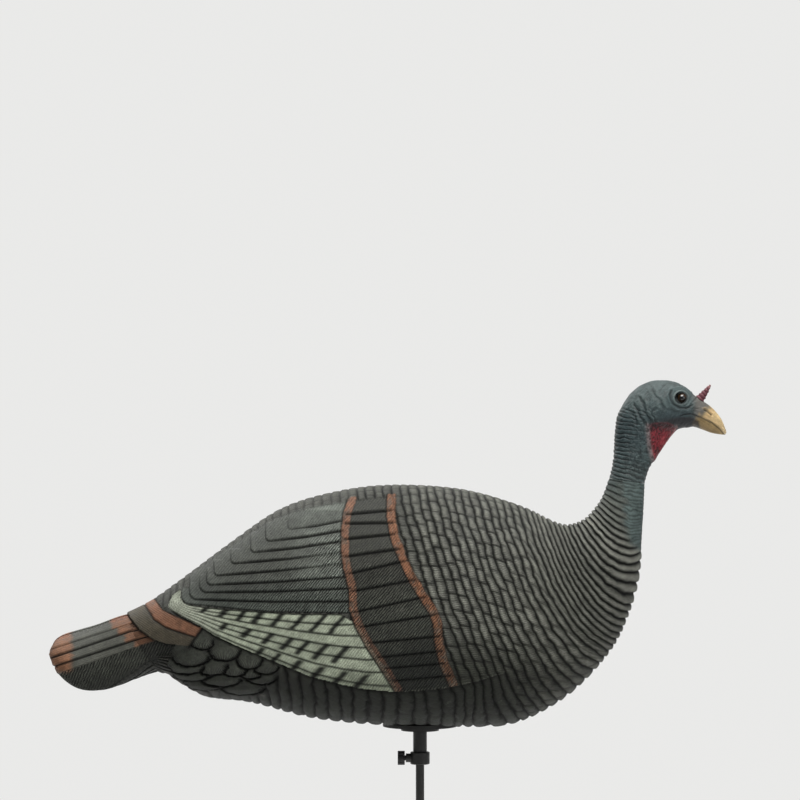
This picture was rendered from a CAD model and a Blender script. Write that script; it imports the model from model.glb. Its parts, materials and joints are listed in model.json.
import json
import math

import bpy
import numpy as np
from mathutils import Matrix, Vector


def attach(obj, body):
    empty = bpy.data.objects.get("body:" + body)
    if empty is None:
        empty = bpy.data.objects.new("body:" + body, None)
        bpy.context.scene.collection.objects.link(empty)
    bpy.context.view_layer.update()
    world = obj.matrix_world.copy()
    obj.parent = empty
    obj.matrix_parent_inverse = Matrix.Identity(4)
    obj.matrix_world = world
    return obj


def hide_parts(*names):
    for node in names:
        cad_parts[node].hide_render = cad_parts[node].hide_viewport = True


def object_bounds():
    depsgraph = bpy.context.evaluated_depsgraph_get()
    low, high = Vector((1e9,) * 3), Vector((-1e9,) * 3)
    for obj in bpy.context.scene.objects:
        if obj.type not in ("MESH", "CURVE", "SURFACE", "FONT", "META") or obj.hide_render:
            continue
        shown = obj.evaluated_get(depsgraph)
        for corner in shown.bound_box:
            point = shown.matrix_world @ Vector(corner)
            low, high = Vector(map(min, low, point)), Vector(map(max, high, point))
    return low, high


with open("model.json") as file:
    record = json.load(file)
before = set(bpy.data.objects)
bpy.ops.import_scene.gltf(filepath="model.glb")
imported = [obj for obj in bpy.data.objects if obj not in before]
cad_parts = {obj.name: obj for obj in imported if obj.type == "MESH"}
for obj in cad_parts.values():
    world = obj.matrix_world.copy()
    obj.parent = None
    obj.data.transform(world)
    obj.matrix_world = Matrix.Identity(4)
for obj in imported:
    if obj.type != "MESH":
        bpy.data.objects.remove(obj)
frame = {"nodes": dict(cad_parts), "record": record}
cad_low, cad_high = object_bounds()
rng = np.random.default_rng(7)

# ------------------------------------------------------------------ units
# The feather pattern is laid out on the bird's side in pattern units of 1.13 mm: a runs towards the beak, b runs down.
U = 1.13
BELLY = 258.0  # mm, belly plate above ground level


def a_of(x):
    return 420.0 + x / U


def b_of(z):
    return 726.0 - z / U


LENS = 150.0
FRAME_W = 800 * U                                # the picture's width on the bird's mid-plane, mm
CAMERA_AT = FRAME_W / 2 / (18.0 / LENS)          # mm from the mid-plane


def pattern(P):
    """Pattern coordinates of points, as laid out by someone standing at the camera's distance."""
    k = CAMERA_AT / (CAMERA_AT - np.abs(P[..., 1]))
    return (400 + (a_of(P[..., 0]) - 400) * k).ravel(), (400 + (b_of(P[..., 2]) - 400) * k).ravel()


def mm(p):
    """Row-frame metres from millimetres measured from the belly plate."""
    q = np.array(p, float)
    q[..., 2] += BELLY
    return q / 1000.0


# ------------------------------------------------------------------ small tools
def smooth(e0, e1, x):
    k = np.clip((x - e0) / (e1 - e0), 0, 1)
    return k * k * (3 - 2 * k)


def lerp(a, b, w):
    return a + (b - a) * w


def cubic(x, y, q):
    """Natural cubic spline through (x, y), each column of y on its own."""
    x, y, q = np.asarray(x, float), np.asarray(y, float), np.asarray(q, float)
    n = len(x)
    h = np.diff(x)
    A = np.zeros((n, n))
    r = np.zeros((n,) + y.shape[1:])
    A[0, 0] = A[-1, -1] = 1
    for i in range(1, n - 1):
        A[i, i - 1], A[i, i], A[i, i + 1] = h[i - 1], 2 * (h[i - 1] + h[i]), h[i]
        r[i] = 6 * ((y[i + 1] - y[i]) / h[i] - (y[i] - y[i - 1]) / h[i - 1])
    m = np.linalg.solve(A, r)
    k = np.clip(np.searchsorted(x, q) - 1, 0, n - 2)
    hk = h[k][:, None]
    s = (q - x[k])[:, None]
    e = (x[k + 1] - q)[:, None]
    return (m[k] * e ** 3 + m[k + 1] * s ** 3) / (6 * hk) + (y[k] / hk - m[k] * hk / 6) * e + (y[k + 1] / hk - m[k + 1] * hk / 6) * s


def dist(A, B, pts):
    """Distance from each point to a polyline, in pattern units."""
    best = np.full(A.shape, 1e9)
    for (x0, y0), (x1, y1) in zip(pts[:-1], pts[1:]):
        dx, dy = x1 - x0, y1 - y0
        s = np.clip(((A - x0) * dx + (B - y0) * dy) / (dx * dx + dy * dy), 0, 1)
        best = np.minimum(best, np.hypot(A - x0 - s * dx, B - y0 - s * dy))
    return best


def inside(A, B, poly):
    hit = np.zeros(A.shape, bool)
    n = len(poly)
    for i in range(n):
        x0, y0 = poly[i]
        x1, y1 = poly[(i + 1) % n]
        if y0 == y1:
            continue
        c = ((y0 > B) != (y1 > B)) & (A < (x1 - x0) * (B - y0) / (y1 - y0) + x0)
        hit ^= c
    return hit


_hash = np.random.default_rng(3).random(65536)


def hash1(i, salt=0):
    return _hash[(np.asarray(i).astype(np.int64) * 7919 + salt * 104729) & 65535]


def vnoise(x, y, salt=0):
    xi, yi = np.floor(x).astype(np.int64), np.floor(y).astype(np.int64)
    fx, fy = x - xi, y - yi
    fx, fy = fx * fx * (3 - 2 * fx), fy * fy * (3 - 2 * fy)

    def g(i, j):
        return _hash[(i * 7919 + j * 6151 + salt * 104729) & 65535]

    return lerp(lerp(g(xi, yi), g(xi + 1, yi), fx), lerp(g(xi, yi + 1), g(xi + 1, yi + 1), fx), fy) * 2 - 1


def fbm(x, y, salt=0):
    return vnoise(x, y, salt) * 0.6 + vnoise(x * 2.03, y * 2.03, salt + 1) * 0.28 + vnoise(x * 4.1, y * 4.1, salt + 2) * 0.12


def lin(rgb):
    """Linear colour from 0-255 display values."""
    c = np.array(rgb, float) / 255
    return np.where(c <= 0.04045, c / 12.92, ((c + 0.055) / 1.055) ** 2.4)


class Paint:
    """Colour per point, laid on in coats."""

    def __init__(self, n, base):
        self.c = np.tile(lin(base), (n, 1))

    def coat(self, rgb, w):
        w = np.clip(np.asarray(w, float), 0, 1)[:, None]
        self.c = self.c * (1 - w) + lin(rgb) * w

    def shade(self, k):
        self.c = self.c * np.asarray(k, float)[:, None]


# ------------------------------------------------------------------ the bird's stations, as in the CAD part
BODY = np.array([
    (-332.2, 127.1, -302.8, 61.0, 47.0, 2.00, 2.00, 0.50),
    (-305.1, 140.7, -280.2, 55.4, 56.0, 2.00, 2.05, 0.50),
    (-271.2, 164.4, -248.6, 36.2, 68.0, 2.00, 2.15, 0.51),
    (-235.0, 191.5, -212.4, 30.5, 80.0, 2.02, 2.25, 0.52),
    (-194.4, 221.5, -174.0, 24.9, 92.0, 2.05, 2.40, 0.53),
    (-153.7, 246.9, -135.6, 14.7, 101.0, 2.08, 2.55, 0.54),
    (-108.5, 261.6, -96.0, 8.5, 107.0, 2.10, 2.65, 0.55),
    (-63.3, 270.1, -56.5, 5.1, 110.0, 2.12, 2.75, 0.55),
    (-21.5, 272.3, -17.0, 3.6, 110.5, 2.12, 2.80, 0.55),
    (19.2, 270.6, 24.9, 2.6, 109.0, 2.12, 2.75, 0.55),
    (56.5, 265.6, 65.5, 1.8, 106.0, 2.10, 2.60, 0.55),
    (90.4, 256.5, 101.7, 4.5, 101.0, 2.08, 2.45, 0.54),
    (119.8, 245.8, 139.0, 19.2, 94.0, 2.05, 2.30, 0.53),
    (143.5, 233.9, 172.9, 41.8, 85.0, 2.03, 2.20, 0.52),
    (162.7, 226.8, 200.0, 68.9, 75.0, 2.00, 2.12, 0.51),
    (177.4, 228.8, 220.4, 96.1, 64.0, 2.00, 2.06, 0.50),
    (188.2, 234.5, 234.9, 128.8, 53.0, 2.00, 2.02, 0.50),
    (196.1, 243.0, 244.5, 160.5, 43.0, 2.00, 2.00, 0.50),
    (202.3, 251.4, 248.9, 191.0, 34.5, 2.00, 2.00, 0.50),
    (206.8, 259.9, 250.9, 220.4, 28.0, 2.00, 2.00, 0.50),
    (210.5, 269.5, 252.6, 247.5, 22.8, 2.00, 2.00, 0.50),
    (213.9, 279.7, 253.7, 274.0, 20.1, 2.00, 2.00, 0.50),
])
HEAD = np.array([
    (213.9, 279.7, 253.7, 274.0, 20.1, 0.00),
    (217.0, 293.8, 258.2, 289.3, 20.1, 0.05),
    (218.9, 307.4, 266.6, 303.4, 20.4, 0.35),
    (219.4, 320.9, 275.7, 316.4, 21.0, 0.55),
    (220.4, 334.5, 283.6, 327.7, 22.0, 0.55),
    (222.6, 349.2, 289.3, 333.9, 23.5, 0.40),
    (228.8, 362.7, 293.8, 336.2, 25.3, 0.22),
    (238.4, 376.3, 298.9, 337.0, 26.2, 0.15),
    (252.0, 386.5, 304.0, 337.5, 25.8, 0.15),
    (267.8, 390.7, 308.5, 337.9, 24.0, 0.15),
    (282.5, 389.9, 312.5, 336.7, 21.4, 0.15),
    (294.9, 385.9, 316.4, 335.1, 18.2, 0.15),
    (304.5, 378.6, 320.9, 333.4, 15.0, 0.15),
    (312.5, 371.8, 325.4, 331.7, 12.6, 0.18),
    (319.8, 367.0, 330.0, 330.3, 10.8, 0.22),
    (327.7, 361.6, 334.5, 329.4, 9.0, 0.25),
    (335.6, 353.7, 338.4, 328.8, 7.0, 0.25),
    (341.3, 345.2, 342.4, 328.5, 4.8, 0.25),
    (345.0, 336.2, 345.0, 329.1, 2.2, 0.20),
])
TAIL = np.array([
    (-322.1, 127.5, -292.7, 63.0, 44.5, 0.00),
    (-335.6, 124.6, -305.1, 60.0, 46.8, 0.10),
    (-348.0, 120.6, -322.1, 55.0, 49.5, 0.24),
    (-364.0, 114.6, -342.4, 47.6, 53.0, 0.40),
    (-378.6, 110.2, -361.6, 44.0, 56.0, 0.54),
    (-391.0, 106.6, -379.7, 45.8, 58.0, 0.64),
    (-402.3, 103.0, -394.4, 53.5, 56.0, 0.68),
    (-410.2, 98.0, -405.6, 64.0, 49.0, 0.66),
    (-414.2, 91.5, -413.0, 76.0, 38.0, 0.52),
])
NECK_C = np.array([233.8, 0.0, 276.85])
NECK_N = np.array([math.sin(math.atan2(5.7, 39.8)), 0.0, math.cos(math.atan2(5.7, 39.8))])


def section(d, v, w, n_top=2.0, n_bot=2.0, um=0.5, pinch=0.0, hollow=0.0, count=100):
    th = np.linspace(0, math.pi, 721)
    c, s = np.cos(th), np.clip(np.sin(th), 0, 1)
    n = np.where(c >= 0, n_top, n_bot)
    y = w * s ** (2.0 / n)
    u = np.where(c >= 0, um * (1 - np.abs(c) ** (2.0 / n)), um + (1 - um) * np.abs(c) ** (2.0 / n))
    if pinch:
        k = np.clip((u - 0.35) / 0.65, 0, 1)
        y = y * (1 - pinch * k * k * (3 - 2 * k))
    if hollow:
        k = np.clip((th - math.radians(112)) / math.radians(68), 0, 1)
        u = u - hollow * k * k * (3 - 2 * k)
        u = u / u.max()
    p = np.stack([d[0] + (v[0] - d[0]) * u, y, d[1] + (v[1] - d[1]) * u], 1)
    arc = np.concatenate([[0], np.cumsum(np.linalg.norm(np.diff(p, axis=0), axis=1))])
    at = np.linspace(0, arc[-1], count)
    return np.stack([np.interp(at, arc, p[:, k]) for k in range(3)], 1), arc[-1]


def surface(table, ts, kind, count):
    """Grid of points (rows along the bird, columns from the top to the bottom of its left half) and each row's arc length."""
    rows = cubic(np.arange(len(table)), table, ts)
    out, arcs = [], []
    for r in rows:
        if kind == "body":
            p, L = section(r[0:2], r[2:4], r[4], r[5], r[6], r[7], count=count)
        elif kind == "head":
            p, L = section(r[0:2], r[2:4], r[4], pinch=max(r[5], 0), count=count)
        else:
            p, L = section(r[0:2], r[2:4], r[4], n_top=2.1, hollow=max(r[5], 0), count=count)
        out.append(p)
        arcs.append(L)
    return np.array(out), np.array(arcs)


def normals(P):
    """Outward normals of a left-half grid."""
    dt, dk = np.gradient(P, axis=0), np.gradient(P, axis=1)
    n = np.cross(dt, dk)
    if n[:, n.shape[1] // 3, 1].mean() < 0:
        n = -n
    n /= np.linalg.norm(n, axis=2, keepdims=True) + 1e-12
    n[:, 0, 1] = n[:, -1, 1] = 0
    n /= np.linalg.norm(n, axis=2, keepdims=True) + 1e-12
    return n


def mesh_from_grid(name, G, attrs, mirror=False, keep=None):
    """A shaded grid mesh. attrs: name -> (points, 3 or 4) colour or (points,) float arrays in grid order."""
    r, c = G.shape[:2]
    co = G.reshape(-1, 3).copy()
    if mirror:
        co[:, 1] *= -1
    idx = np.arange(r * c).reshape(r, c)
    q = np.stack([idx[:-1, :-1], idx[1:, :-1], idx[1:, 1:], idx[:-1, 1:]], -1).reshape(-1, 4)
    if keep is not None:
        q = q[keep[q].all(1)]
    m0, k0 = r // 2, c // 3
    facing = np.cross(G[m0 + 1, k0] - G[m0, k0], G[m0, k0 + 1] - G[m0, k0])[1] > 0
    if facing == mirror:
        q = q[:, ::-1]
    used = np.unique(q)
    remap = np.full(r * c, -1)
    remap[used] = np.arange(len(used))
    q = remap[q]
    me = bpy.data.meshes.new(name)
    me.vertices.add(len(used))
    me.vertices.foreach_set("co", mm(co[used]).astype(np.float32).ravel())
    me.loops.add(q.size)
    me.loops.foreach_set("vertex_index", q.ravel().astype(np.int32))
    me.polygons.add(len(q))
    me.polygons.foreach_set("loop_start", np.arange(0, q.size, 4, dtype=np.int32))
    me.polygons.foreach_set("loop_total", np.full(len(q), 4, np.int32))
    me.polygons.foreach_set("use_smooth", np.ones(len(q), bool))
    for k, v in attrs.items():
        v = np.asarray(v)[used]
        if v.ndim == 1:
            at = me.attributes.new(k, "FLOAT", "POINT")
            at.data.foreach_set("value", v.astype(np.float32))
        else:
            at = me.attributes.new(k, "FLOAT_COLOR", "POINT")
            if v.shape[1] == 3:
                v = np.concatenate([v, np.ones((len(v), 1))], 1)
            at.data.foreach_set("color", v.astype(np.float32).ravel())
    me.update(calc_edges=True)
    me.validate()
    o = bpy.data.objects.new(name, me)
    bpy.context.scene.collection.objects.link(o)
    return o


# ------------------------------------------------------------------ feather layout on the body
RUST_A = [(352.5, 498), (347, 514), (345, 531), (345, 553), (347, 568), (352.5, 589), (353, 608), (359, 626), (370, 646), (382, 664), (393, 681), (398, 689)]
RUST_B = [(391.5, 497.5), (391, 516), (394.6, 537), (402, 556), (410, 574), (420.6, 592), (433, 611), (437.5, 623), (439, 643), (443.6, 663), (453, 683)]
WHITE_TOP = [(168, 607), (176, 604), (185, 605), (210, 608.5), (252, 611.5), (294, 614), (340.6, 614.4), (356, 613)]
TIP_IN = [(181.5, 591), (181.2, 598), (184.0, 603.5), (190, 606), (210, 608.5), (252, 611.5), (294, 614), (340.6, 614.4), (358, 613)]
TIP_OUT = [(179.5, 590.5), (173.5, 595.5), (169, 601.5), (168.6, 607), (173, 612), (181, 616), (200, 626), (214, 635), (238, 646), (274, 661), (310, 676), (341, 684), (364, 688.5), (394.5, 691.4)]
WING_EDGE = [(168, 608), (181, 616), (200, 626), (214, 635), (238, 646), (274, 661), (310, 676), (341, 684), (364, 688.5), (394.5, 691.4), (421, 689.5), (450, 686.6), (479, 680), (511, 670)]
CORNERS = [(288, 529.5, 513), (266, 541.4, 521), (251, 552.6, 534), (231, 563.8, 551), (214.4, 575.8, 562), (207, 585, 570), (200, 592.6, 577), (190, 599.6, 585), (182.5, 604.5, 590)]
A_AT = [519.6, 530.2, 540.7, 551.9, 563.1, 576.5, 588.4, 601.7, 613.5]
CROSS = [((356, 513.6), (385, 511)), ((350, 523.6), (385, 523)), ((347, 539), (387, 535)), ((347, 556.5), (393, 550)), ((353, 573), (397, 563)),
         ((355, 591), (404, 582)), ((356, 612), (416, 599)), ((367, 626), (428, 616)), ((370, 643), (433, 637)), ((382, 657), (434, 652)),
         ((390, 668), (438, 664)), ((395, 680), (444, 676))]
COVERT_U = [(150, 594), (156, 600.6), (163, 610), (178, 617), (199, 627)]
COVERT_L = [(141, 600), (146, 607), (154, 620), (166, 628), (181, 633), (194, 637)]
COVERT_E = [(124, 608), (130, 618), (139.5, 629.6), (153, 639.6), (166, 643.7), (188, 646)]
SCALES = [(242.7, 688, 20, 6.5), (205, 684, 20, 6), (262, 677, 15, 7), (221.7, 679.5, 19, 6.5), (192, 675, 18, 5.5), (249.7, 671, 13, 7.5), (234, 668, 13.5, 8),
          (211.9, 666, 15, 9), (186.6, 667, 17, 6.5), (266, 667, 12, 7), (249.7, 660, 12.5, 8.5), (190.8, 657.7, 17.5, 8.2), (224.5, 650.5, 15.5, 9.8), (202, 641.8, 11.5, 7.8)]
# mesh rows follow MESH_PER; rows of feathers follow BACK_PER along the spine and BELLY_PER below the wing
MESH_PER = [2.6, 3.6, 4.3, 4.6, 4.6, 4.6, 4.5, 4.4, 4.4, 4.2, 4.2, 4.2, 4.6, 4.6, 4.4, 4.0, 3.6, 3.2, 2.8, 2.6, 2.6]
BACK_PER = [3, 4.3, 4.5, 4.8, 4.8, 4.8, 4.6, 4.3, 4.2, 3.9, 3.6, 3.4, 3.8, 3.3, 2.6, 2.4, 2.2, 2.0, 1.9, 1.9, 1.9]
BELLY_PER = [2.2, 2.9, 3.4, 3.7, 3.9, 3.9, 3.9, 3.9] + BACK_PER[8:]
ROWS = np.concatenate([[0], np.cumsum(MESH_PER)])
BACK = np.concatenate([[0], np.cumsum(BACK_PER)])
BELLYR = np.concatenate([[0], np.cumsum(BELLY_PER)])
BELLYR += BACK[-1] - BELLYR[-1]
# how far a row runs forward, in stations, between the spine and the keel
FAN_T = [0, 4, 6, 7, 7.74, 9, 11.2, 12.5, 14, 15, 15.7, 17, 18.7, 20, 21]
FAN_G = [0, 0, 0.8, 1.6, 2.0, 2.4, 2.8, 2.65, 2.4, 2.5, 2.45, 1.9, 0.9, 0.45, 0.0]


def row_of(t):
    return np.interp(t, np.arange(len(ROWS)), ROWS)


def start_of(T, m):
    """The station on the spine from which the row through (T, m) starts."""
    t0 = T.copy()
    for _ in range(16):
        t0 = 0.4 * t0 + 0.6 * (T - np.interp(t0, FAN_T, FAN_G) * m)
    return t0


def shingle(phase, rise=0.16):
    """0 to 1 profile of an overlapping row: steep at its trailing edge, then falling away towards the head."""
    f = phase - np.floor(phase)
    return np.where(f < rise, smooth(0, rise, f), 1 - 0.9 * smooth(rise, 1.0, f) * 0.5 - 0.45 * (f - rise) / (1 - rise))


def edge(phase, width):
    f = phase - np.floor(phase)
    d = np.minimum(f, 1 - f)
    return np.exp(-(d / width) ** 2)


def fan_fields(A, B):
    """Feathers of the tail's side: three long grooves, rust bands at both ends, coarse barbs below."""
    yc = np.interp(A, [50, 129.5, 150], [649.5, 624, 618])
    ya = np.interp(A, [50, 135.7, 160], [658.2, 629.4, 621.5])
    yb = np.interp(A, [50, 60, 148.4, 170], [668, 664.5, 635.8, 629])
    ylow = yb + lerp(8.5, 7.0, smooth(60, 150, A))
    lc, la, lb = (np.exp(-((B - y) / w) ** 2) for y, w in ((yc, 0.8), (ya, 1.15), (yb, 1.15)))
    g = np.maximum(np.maximum(la, lb), 0.40 * lc * smooth(50, 60, A) * (1 - smooth(95, 125, A)))
    in_f = np.select([B < yc, B < ya, B < yb], [B - yc + 9, B - yc, B - ya], B - yb)
    hx = 0.9 * np.clip(in_f / 9, 0, 1) ** 1.4 - 1.5 * g
    low = smooth(-1.5, 1.5, B - ylow)
    hx = lerp(hx, -0.2, low)
    end_x = 71 + 1.8 * vnoise(B / 2.6, A * 0, 61) - 5.0 * smooth(655, 640, B) * 0
    end = (1 - smooth(end_x - 3, end_x + 4, A)) * (1 - smooth(668, 676, B))
    x_base = np.select([B < yc, B < ya, B < yb], [112.5, 117.5, 125.0], 134.0) + 1.2 * vnoise(B / 2, A * 0, 66)
    base = smooth(x_base - 2, x_base + 2.5, A) * (1 - low)
    cols = [(76, 77, 70), (52, 54, 48), (130, 92, 68), (120, 84, 62), (38, 40, 35)]
    w = [np.ones_like(A), low, end * 0.95 * (1 - 0.35 * low), base * 0.92, smooth(10, 30, B - ylow)]
    ph_ = np.where(low > 0.5, (A * 0.93 + B * 0.40) / 2.6, (A * 0.35 + B * 0.94) / 2.0)
    st_ = np.where(low > 0.5, 1.15 * (1 - 0.5 * smooth(14, 30, B - ylow)), 0.18)
    return hx, cols, w, ph_, st_, np.clip(g, 0, 1)


def body_fields(P, ts, arcs, count):
    r, c = P.shape[:2]
    A, B = pattern(P)
    Y = P[..., 1].ravel()
    T = np.repeat(ts, c)
    S = np.tile(np.linspace(0, 1, c), r)
    ARC = S * np.repeat(arcs, c)          # mm down from the spine
    R = row_of(T)
    n = len(A)
    h = np.zeros(n)
    cav = np.zeros(n)                     # 0 to 1, dark wash in the grooves
    barb = A * 0.5
    bstr = np.zeros(n)
    col = Paint(n, (73, 74, 68))

    xa = np.interp(B, [p[1] for p in RUST_A], [p[0] for p in RUST_A])
    xb = np.interp(B, [p[1] for p in RUST_B], [p[0] for p in RUST_B])
    we = np.interp(A, [p[0] for p in WING_EDGE], [p[1] for p in WING_EDGE])
    top = B.reshape(r, c)[:, 0].repeat(c)          # spine height of the same row
    wing_span = smooth(166, 172, A) * (1 - smooth(500, 516, A))
    above = B < we
    side = above & (A > 160)

    # --- rows of small feathers: over the back, the mantle, the breast, the neck and the belly
    wav = 0.13 * vnoise(A / 17.0, B / 17.0, 5) + 0.10 * vnoise(A / 6.0, B / 6.0, 6) + 0.055 * vnoise(A / 2.6, B / 2.6, 7)
    neck = smooth(16.0, 18.5, T)
    rows_grid = np.repeat(P[:, :1, :], c, 1).reshape(-1, 3)
    keel_grid = np.repeat(P[:, -1:, :], c, 1).reshape(-1, 3)
    span = keel_grid - rows_grid
    uu = np.clip(((P.reshape(-1, 3) - rows_grid) * span).sum(1) / (span * span).sum(1), 0, 1)
    u_wing = np.clip((we - top) / np.maximum(b_of(keel_grid[:, 2]) - top, 1), 0.3, 1)
    free = smooth(468, 520, A)
    u_eff = lerp(np.minimum(uu, u_wing), uu, free)
    belly = (~above) & (A > 150) & (A < 515)
    t0 = start_of(T, u_eff ** 1.25)
    ph_back = np.interp(t0, np.arange(len(BACK)), BACK)
    ph_belly = np.interp(t0, np.arange(len(BELLYR)), BELLYR)
    PH = np.where(above, ph_back, ph_belly) + wav * (1 - 0.5 * neck)
    row_id = np.floor(PH)
    front_far = smooth(11.3, 13.2, t0)
    brick_len = np.where(A < 344, 19.0, 16.5) * lerp(1.0, 2.6, front_far) * lerp(1, 2.2, neck)
    jit = hash1(row_id, 2)
    bl = ARC / brick_len + jit + 0.22 * vnoise(row_id * 3.7, ARC / brick_len, 9)
    cut = edge(bl, 0.043 * lerp(1, 0.5, np.maximum(front_far, neck)))
    low_spine = smooth(38, 72, ARC)
    cut = cut * np.where(A > 344, lerp(0.12, 1.0, low_spine), 1.0) * lerp(1.0, 0.16, front_far) * (1 - neck)
    cut = cut * (0.22 + 0.72 * (hash1(row_id * 31 + np.round(bl), 8) > 0.30))
    cut = cut * lerp(1.0, 0.10, smooth(505, 548, A)) * lerp(1.0, 0.3, smooth(640, 690, B))
    cut = np.where(belly, cut * 0.12, cut)
    cut = np.where(A < 344, cut * 0.45, cut)
    f_ = PH + 0.035 - np.floor(PH + 0.035)
    d_ = np.minimum(f_, 1 - f_)
    strong = lerp(0.128, 0.160, smooth(10.5, 14.0, t0)) * np.where(belly, 1.10, 1.0)
    gap = np.exp(-(d_ / strong) ** 2)
    prof = shingle(PH)
    amp = lerp(1.62, 2.25, smooth(10.5, 14.5, t0)) * lerp(1, 0.42, smooth(16.2, 19.5, T))
    amp = amp * lerp(lerp(0.40, 0.75, smooth(505, 540, A)), 1.0, smooth(0, 60, ARC))
    amp = np.where(belly, 1.7 * lerp(0.25, 1.0, smooth(232, 275, A)), amp)
    amp = np.where((A < 350) & above, 0.75, amp)
    # each small feather is rounded down at its ends, where it meets the next
    crown = 1 - 0.6 * np.abs((bl - np.floor(bl)) * 2 - 1) ** 4 * np.clip(cut * 0 + lerp(1.0, 0.3, front_far), 0, 1)
    crown = lerp(crown, 1.0, np.maximum(neck, belly * 0.85))
    round_ = np.sin(np.clip(f_, 0, 1) * math.pi) ** 0.7
    prof = np.where(belly, round_, prof * 0.72 + round_ * 0.38)
    h_rows = amp * (prof * crown - 0.6 * gap - 0.42 * cut)
    cav_rows = np.clip(lerp(1.05, 1.12, smooth(11.0, 14.0, t0)) * gap + 0.92 * cut, 0, 1)
    cav_rows = cav_rows * lerp(lerp(0.55, 0.9, smooth(505, 540, A)), 1.0, smooth(0, 40, ARC))
    cav_rows = np.where((A < 350) & above, cav_rows * 0.55, cav_rows)
    cav_rows = np.where(belly, cav_rows * lerp(0.3, 1.0, smooth(232, 275, A)), cav_rows)
    cav_rows = cav_rows * (1 - 0.45 * smooth(18.0, 20.5, T))
    rnd = hash1(row_id * 57 + np.floor(bl), 4)
    h += h_rows
    cav = np.maximum(cav, cav_rows)
    tone = (rnd - 0.5) * 0.36 + 0.42 * (prof * crown - 0.45)
    tone = np.where((A < 350) & above, tone * 0.5, tone)
    barb_rows = ARC / 1.9 + 0.6 * (PH - row_id)
    barb = barb_rows
    bstr = np.full(n, 0.50) * (1 - 0.5 * neck)
    bstr = np.where(belly, 0.3, bstr)

    # paint of the small feathers: greyer on the back, brown-black towards the breast and the belly
    depth = smooth(510, 690, B)
    front = smooth(440, 600, A)
    col.coat((80, 81, 74), 1 - smooth(0, 70, ARC))
    col.coat((80, 81, 76), smooth(20, 60, ARC) * smooth(420, 470, A) * (1 - smooth(570, 620, B)) * 0.8)
    col.coat((70, 71, 65), depth * 0.8)
    col.coat((76, 77, 70), front * 0.8 * smooth(520, 600, B))
    col.coat((50, 51, 44), smooth(620, 700, B) * (1 - 0.45 * smooth(545, 600, A)) * 0.95)
    col.coat((40, 42, 35), smooth(612, 668, B) * smooth(440, 455, A) * (1 - smooth(520, 552, A)) * above * 0.85)
    col.coat((25, 28, 22), (~above) * smooth(150, 200, A) * (1 - smooth(505, 570, A)) * smooth(640, 696, B) * 0.96)
    # dry brushing along the crests
    crest = smooth(0.50, 0.95, prof * crown) * (1 - cav_rows)
    col.coat((124, 125, 116), crest * above * smooth(395, 425, A) * (1 - smooth(610, 690, B + 0.35 * (500 - A))) * 0.42)
    col.coat((96, 97, 88), crest * (~above) * 0.22 * smooth(480, 560, A))

    # --- the wing's three fields
    in_wing = side & (A < xb) & (ARC > 0)
    # nested secondaries
    d_prev = np.full(n, 60.0)
    taken = np.zeros(n, bool)
    sec = np.zeros(n, bool)
    v_sec = np.zeros(n)
    i_sec = np.full(n, -1)
    d_groove = np.full(n, 60.0)
    left = in_wing & (A < xa + 1)
    px_ = 1e9
    for i, ((cx, cy, cu), ay) in enumerate(zip(CORNERS, A_AT)):
        ax = np.interp(ay, [p[1] for p in RUST_A], [p[0] for p in RUST_A])
        rr = 3.0 if i < 6 else 5.0
        mid = ((cx + ax) / 2, (cy + ay) / 2 + (1.2 if i < 8 else 3.2))
        pts = [(cx, cu), (cx - 0.3, cy - rr), (cx + rr * 0.3, cy - rr * 0.3), (cx + rr, cy), mid, (ax, ay)]
        d = dist(A, B, pts)
        line = np.interp(A, [cx, cx + rr, mid[0], ax], [cy - rr, cy, mid[1], ay])
        ins = left & (B < line) & (A > cx) & ((B > cu - 2) | (A > px_))
        px_ = cx
        new = ins & ~taken
        if i > 0:
            v = d_prev / (d_prev + d + 1e-6)
            sec |= new
            v_sec = np.where(new, v, v_sec)
            i_sec = np.where(new, i, i_sec)
        taken |= ins
        d_prev = d
        fade = smooth(cu - 1, cu + 10, B) * lerp(0.45, 1.0, smooth(cx, cx + 30, A))
        d_groove = np.minimum(d_groove, np.where(left, d + (1 - fade) * 1.6, 60))
    zone4 = left & taken & ~inside(A, B, WHITE_TOP + [(360, 700), (168, 700)])
    z4 = zone4.astype(float)
    strip = smooth(0, 12, ARC - np.interp(A, [170, 230, 290, 350], [6, 20, 34, 46]))   # leaves the back's rows above
    k4 = z4 * strip
    h_sec = 1.25 * (v_sec ** 1.5) - 1.5 * np.exp(-(d_groove / 1.05) ** 2)
    h = lerp(h, h_sec, k4)
    cav = lerp(cav, 1.0 * np.exp(-(d_groove / 1.2) ** 2), k4)
    tone = lerp(tone, (hash1(i_sec, 11) - 0.5) * 0.16, k4)
    barb = np.where(k4 > 0.5, (A * 0.82 + B * 0.62) / 2.35, barb)
    low4 = smooth(545, 600, B) * smooth(185, 330, A)
    bstr = lerp(bstr, 0.30 + 0.95 * np.maximum(low4, smooth(296, 335, A) * smooth(520, 550, B)), k4)
    col.coat((82, 85, 79), k4 * (1 - smooth(520, 600, B) * 0.5))
    col.coat((112, 118, 110), k4 * smooth(275, 335, A) * (1 - smooth(580, 614, B)) * (0.62 + 0.3 * vnoise(A / 7, B / 4, 35)))
    col.coat((72, 78, 72), k4 * smooth(560, 610, B) * 0.8)

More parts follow.
